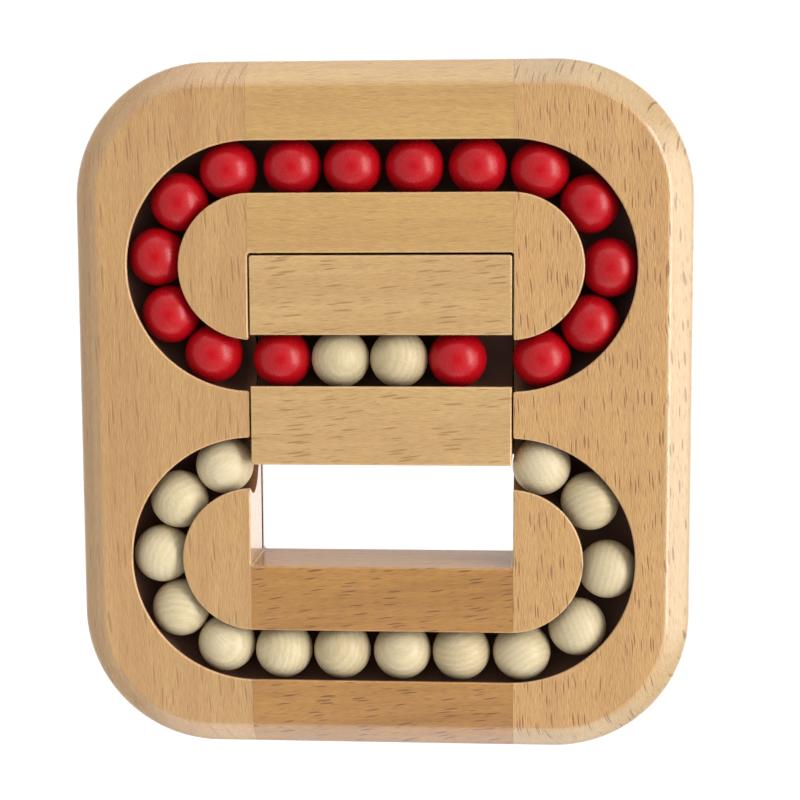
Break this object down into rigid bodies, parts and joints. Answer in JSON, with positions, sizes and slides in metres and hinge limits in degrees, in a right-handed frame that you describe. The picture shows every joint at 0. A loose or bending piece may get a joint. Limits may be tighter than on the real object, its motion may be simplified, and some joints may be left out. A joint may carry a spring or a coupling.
{
  "type": "ball shuttle puzzle",
  "caption": "Hand-held wooden puzzle board with two loop tracks of captive balls and a sliding centre shuttle that carries balls from one loop to the other.",
  "frame": {"origin": "middle of the flat back face that the board lies on", "axes": "+X across the board to the right, +Y along the board towards the upper loop, +Z out of the face where the balls show"},
  "size_m": [0.1264, 0.142, 0.0195],
  "materials": {
    "end_block_beech": "satin clear lacquer over pinkish tan beech with short dark flecks, grain along Y",
    "pale_rail_beech": "satin clear lacquer over smooth yellowish beech, grain along X",
    "brown_rail_beech": "satin clear lacquer over browner beech with dark flecks, grain along X",
    "shuttle_beech": "satin clear lacquer over pale yellowish beech, grain along X",
    "red_ball_lacquer": "satin red lacquer on wood, faint grain",
    "cream_ball_wood": "satin clear lacquer on pale wood, faint grain",
    "dowel_birch": "plain turned hardwood, unfinished"
  },
  "bodies": {
    "board": {"left_end_block": "end_block_beech", "right_end_block": "end_block_beech", "top_rail": "pale_rail_beech", "bottom_rail": "brown_rail_beech", "dowel_top_left_outer": "dowel_birch", "dowel_top_left_inner": "dowel_birch", "dowel_top_right_outer": "dowel_birch", "dowel_top_right_inner": "dowel_birch", "dowel_bottom_left_outer": "dowel_birch", "dowel_bottom_left_inner": "dowel_birch", "dowel_bottom_right_outer": "dowel_birch", "dowel_bottom_right_inner": "dowel_birch"},
    "shuttle": {"shuttle": "shuttle_beech"},
    "shuttle_ball_1": {"shuttle_ball_1": "red_ball_lacquer"},
    "shuttle_ball_2": {"shuttle_ball_2": "cream_ball_wood"},
    "shuttle_ball_3": {"shuttle_ball_3": "cream_ball_wood"},
    "shuttle_ball_4": {"shuttle_ball_4": "red_ball_lacquer"},
    "upper_ball_01": {"upper_ball_01": "red_ball_lacquer"},
    "upper_ball_02": {"upper_ball_02": "red_ball_lacquer"},
    "upper_ball_03": {"upper_ball_03": "red_ball_lacquer"},
    "upper_ball_04": {"upper_ball_04": "red_ball_lacquer"},
    "upper_ball_05": {"upper_ball_05": "red_ball_lacquer"},
    "upper_ball_06": {"upper_ball_06": "red_ball_lacquer"},
    "upper_ball_07": {"upper_ball_07": "red_ball_lacquer"},
    "upper_ball_08": {"upper_ball_08": "red_ball_lacquer"},
    "upper_ball_09": {"upper_ball_09": "red_ball_lacquer"},
    "upper_ball_10": {"upper_ball_10": "red_ball_lacquer"},
    "upper_ball_11": {"upper_ball_11": "red_ball_lacquer"},
    "upper_ball_12": {"upper_ball_12": "red_ball_lacquer"},
    "upper_ball_13": {"upper_ball_13": "red_ball_lacquer"},
    "upper_ball_14": {"upper_ball_14": "red_ball_lacquer"},
    "lower_ball_01": {"lower_ball_01": "cream_ball_wood"},
    "lower_ball_02": {"lower_ball_02": "cream_ball_wood"},
    "lower_ball_03": {"lower_ball_03": "cream_ball_wood"},
    "lower_ball_04": {"lower_ball_04": "cream_ball_wood"},
    "lower_ball_05": {"lower_ball_05": "cream_ball_wood"},
    "lower_ball_06": {"lower_ball_06": "cream_ball_wood"},
    "lower_ball_07": {"lower_ball_07": "cream_ball_wood"},
    "lower_ball_08": {"lower_ball_08": "cream_ball_wood"},
    "lower_ball_09": {"lower_ball_09": "cream_ball_wood"},
    "lower_ball_10": {"lower_ball_10": "cream_ball_wood"},
    "lower_ball_11": {"lower_ball_11": "cream_ball_wood"},
    "lower_ball_12": {"lower_ball_12": "cream_ball_wood"},
    "lower_ball_13": {"lower_ball_13": "cream_ball_wood"},
    "lower_ball_14": {"lower_ball_14": "cream_ball_wood"}
  },
  "joints": [
    {"name": "shuttle_slide", "type": "slide", "parent": "board", "child": "shuttle", "axis": [0, -1, 0], "range_m": [0, 0.0207]},
    {"name": "shuttle_ball_1_roll", "type": "slide", "parent": "shuttle", "child": "shuttle_ball_1", "axis": [1, 0, 0], "range_m": [0, 0.0052]},
    {"name": "shuttle_ball_2_roll", "type": "slide", "parent": "shuttle", "child": "shuttle_ball_2", "axis": [1, 0, 0], "range_m": [0, 0.0052]},
    {"name": "shuttle_ball_3_roll", "type": "slide", "parent": "shuttle", "child": "shuttle_ball_3", "axis": [1, 0, 0], "range_m": [0, 0.0052]},
    {"name": "shuttle_ball_4_roll", "type": "slide", "parent": "shuttle", "child": "shuttle_ball_4", "axis": [1, 0, 0], "range_m": [0, 0.0052]},
    {"name": "upper_ball_01_roll", "type": "hinge", "parent": "board", "child": "upper_ball_01", "pos_m": [0.0264, 0.0295, 0.0135], "axis": [0, 0, 1], "range_deg": [0, 20.63]},
    {"name": "upper_ball_02_roll", "type": "hinge", "parent": "board", "child": "upper_ball_02", "pos_m": [0.0264, 0.0295, 0.0135], "axis": [0, 0, 1], "range_deg": [0, 20.58]},
    {"name": "upper_ball_03_roll", "type": "hinge", "parent": "board", "child": "upper_ball_03", "pos_m": [0.0264, 0.0295, 0.0135], "axis": [0, 0, 1], "range_deg": [0, 20.49]},
    {"name": "upper_ball_04_roll", "type": "hinge", "parent": "board", "child": "upper_ball_04", "pos_m": [0.0264, 0.0295, 0.0135], "axis": [0, 0, 1], "range_deg": [0, 16.14]},
    {"name": "upper_ball_05_roll", "type": "hinge", "parent": "board", "child": "upper_ball_05", "pos_m": [0.0264, 0.0295, 0.0135], "axis": [0, 0, 1], "range_deg": [0, 16.05]},
    {"name": "upper_ball_06_roll", "type": "slide", "parent": "board", "child": "upper_ball_06", "axis": [-1, 0, 0], "range_m": [0, 0.00503]},
    {"name": "upper_ball_07_roll", "type": "slide", "parent": "board", "child": "upper_ball_07", "axis": [-1, 0, 0], "range_m": [0, 0.00431]},
    {"name": "upper_ball_08_roll", "type": "slide", "parent": "board", "child": "upper_ball_08", "axis": [-1, 0, 0], "range_m": [0, 0.00369]},
    {"name": "upper_ball_09_roll", "type": "slide", "parent": "board", "child": "upper_ball_09", "axis": [-1, 0, 0], "range_m": [0, 0.00347]},
    {"name": "upper_ball_10_roll", "type": "hinge", "parent": "board", "child": "upper_ball_10", "pos_m": [-0.0264, 0.0295, 0.0135], "axis": [0, 0, 1], "range_deg": [0, 6.94]},
    {"name": "upper_ball_11_roll", "type": "hinge", "parent": "board", "child": "upper_ball_11", "pos_m": [-0.0264, 0.0295, 0.0135], "axis": [0, 0, 1], "range_deg": [0, 6.85]},
    {"name": "upper_ball_12_roll", "type": "hinge", "parent": "board", "child": "upper_ball_12", "pos_m": [-0.0264, 0.0295, 0.0135], "axis": [0, 0, 1], "range_deg": [0, 6.77]},
    {"name": "upper_ball_13_roll", "type": "hinge", "parent": "board", "child": "upper_ball_13", "pos_m": [-0.0264, 0.0295, 0.0135], "axis": [0, 0, 1], "range_deg": [0, 6.68]},
    {"name": "upper_ball_14_roll", "type": "hinge", "parent": "board", "child": "upper_ball_14", "pos_m": [-0.0264, 0.0295, 0.0135], "axis": [0, 0, 1], "range_deg": [0, 6.6]},
    {"name": "lower_ball_01_roll", "type": "hinge", "parent": "board", "child": "lower_ball_01", "pos_m": [0.0264, -0.0309, 0.0135], "axis": [0, 0, -1], "range_deg": [0, 20.63]},
    {"name": "lower_ball_02_roll", "type": "hinge", "parent": "board", "child": "lower_ball_02", "pos_m": [0.0264, -0.0309, 0.0135], "axis": [0, 0, -1], "range_deg": [0, 20.01]},
    {"name": "lower_ball_03_roll", "type": "hinge", "parent": "board", "child": "lower_ball_03", "pos_m": [0.0264, -0.0309, 0.0135], "axis": [0, 0, -1], "range_deg": [0, 12.24]},
    {"name": "lower_ball_04_roll", "type": "hinge", "parent": "board", "child": "lower_ball_04", "pos_m": [0.0264, -0.0309, 0.0135], "axis": [0, 0, -1], "range_deg": [0, 7.61]},
    {"name": "lower_ball_05_roll", "type": "hinge", "parent": "board", "child": "lower_ball_05", "pos_m": [0.0264, -0.0309, 0.0135], "axis": [0, 0, -1], "range_deg": [0, 5.82]},
    {"name": "lower_ball_06_roll", "type": "slide", "parent": "board", "child": "lower_ball_06", "axis": [-1, 0, 0], "range_m": [0, 0.00153]},
    {"name": "lower_ball_07_roll", "type": "slide", "parent": "board", "child": "lower_ball_07", "axis": [-1, 0, 0], "range_m": [0, 0.00131]},
    {"name": "lower_ball_08_roll", "type": "slide", "parent": "board", "child": "lower_ball_08", "axis": [-1, 0, 0], "range_m": [0, 0.00079]},
    {"name": "lower_ball_09_roll", "type": "slide", "parent": "board", "child": "lower_ball_09", "axis": [-1, 0, 0], "range_m": [0, 0.00057]},
    {"name": "lower_ball_10_roll", "type": "hinge", "parent": "board", "child": "lower_ball_10", "pos_m": [-0.0264, -0.0309, 0.0135], "axis": [0, 0, -1], "range_deg": [0, 1.25]},
    {"name": "lower_ball_11_roll", "type": "hinge", "parent": "board", "child": "lower_ball_11", "pos_m": [-0.0264, -0.0309, 0.0135], "axis": [0, 0, -1], "range_deg": [0, 1.17]},
    {"name": "lower_ball_12_roll", "type": "hinge", "parent": "board", "child": "lower_ball_12", "pos_m": [-0.0264, -0.0309, 0.0135], "axis": [0, 0, -1], "range_deg": [0, 1.08]},
    {"name": "lower_ball_13_roll", "type": "hinge", "parent": "board", "child": "lower_ball_13", "pos_m": [-0.0264, -0.0309, 0.0135], "axis": [0, 0, -1], "range_deg": [0, 0.99]},
    {"name": "lower_ball_14_roll", "type": "hinge", "parent": "board", "child": "lower_ball_14", "pos_m": [-0.0264, -0.0309, 0.0135], "axis": [0, 0, -1], "range_deg": [0, 0.91]}
  ],
  "couplings": [
    {"joint": "shuttle_ball_2_roll", "follows": "shuttle_ball_1_roll", "ratio": 1},
    {"joint": "shuttle_ball_3_roll", "follows": "shuttle_ball_1_roll", "ratio": 1},
    {"joint": "shuttle_ball_4_roll", "follows": "shuttle_ball_1_roll", "ratio": 1},
    {"joint": "upper_ball_02_roll", "follows": "upper_ball_01_roll", "ratio": 0.9969},
    {"joint": "upper_ball_03_roll", "follows": "upper_ball_01_roll", "ratio": 0.9927},
    {"joint": "upper_ball_04_roll", "follows": "upper_ball_01_roll", "ratio": 0.7819},
    {"joint": "upper_ball_05_roll", "follows": "upper_ball_01_roll", "ratio": 0.7777},
    {"joint": "upper_ball_06_roll", "follows": "upper_ball_01_roll", "m_per_rad": 0.013949},
    {"joint": "upper_ball_07_roll", "follows": "upper_ball_01_roll", "m_per_rad": 0.01195},
    {"joint": "upper_ball_08_roll", "follows": "upper_ball_01_roll", "m_per_rad": 0.010228},
    {"joint": "upper_ball_09_roll", "follows": "upper_ball_01_roll", "m_per_rad": 0.009617},
    {"joint": "upper_ball_10_roll", "follows": "upper_ball_01_roll", "ratio": 0.3357},
    {"joint": "upper_ball_11_roll", "follows": "upper_ball_01_roll", "ratio": 0.3316},
    {"joint": "upper_ball_12_roll", "follows": "upper_ball_01_roll", "ratio": 0.3275},
    {"joint": "upper_ball_13_roll", "follows": "upper_ball_01_roll", "ratio": 0.3234},
    {"joint": "upper_ball_14_roll", "follows": "upper_ball_01_roll", "ratio": 0.3192},
    {"joint": "lower_ball_02_roll", "follows": "lower_ball_01_roll", "ratio": 0.9693},
    {"joint": "lower_ball_03_roll", "follows": "lower_ball_01_roll", "ratio": 0.593},
    {"joint": "lower_ball_04_roll", "follows": "lower_ball_01_roll", "ratio": 0.3684},
    {"joint": "lower_ball_05_roll", "follows": "lower_ball_01_roll", "ratio": 0.2815},
    {"joint": "lower_ball_06_roll", "follows": "lower_ball_01_roll", "m_per_rad": 0.004229},
    {"joint": "lower_ball_07_roll", "follows": "lower_ball_01_roll", "m_per_rad": 0.003618},
    {"joint": "lower_ball_08_roll", "follows": "lower_ball_01_roll", "m_per_rad": 0.002174},
    {"joint": "lower_ball_09_roll", "follows": "lower_ball_01_roll", "m_per_rad": 0.001563},
    {"joint": "lower_ball_10_roll", "follows": "lower_ball_01_roll", "ratio": 0.0601},
    {"joint": "lower_ball_11_roll", "follows": "lower_ball_01_roll", "ratio": 0.056},
    {"joint": "lower_ball_12_roll", "follows": "lower_ball_01_roll", "ratio": 0.0518},
    {"joint": "lower_ball_13_roll", "follows": "lower_ball_01_roll", "ratio": 0.0477},
    {"joint": "lower_ball_14_roll", "follows": "lower_ball_01_roll", "ratio": 0.0436}
  ]
}
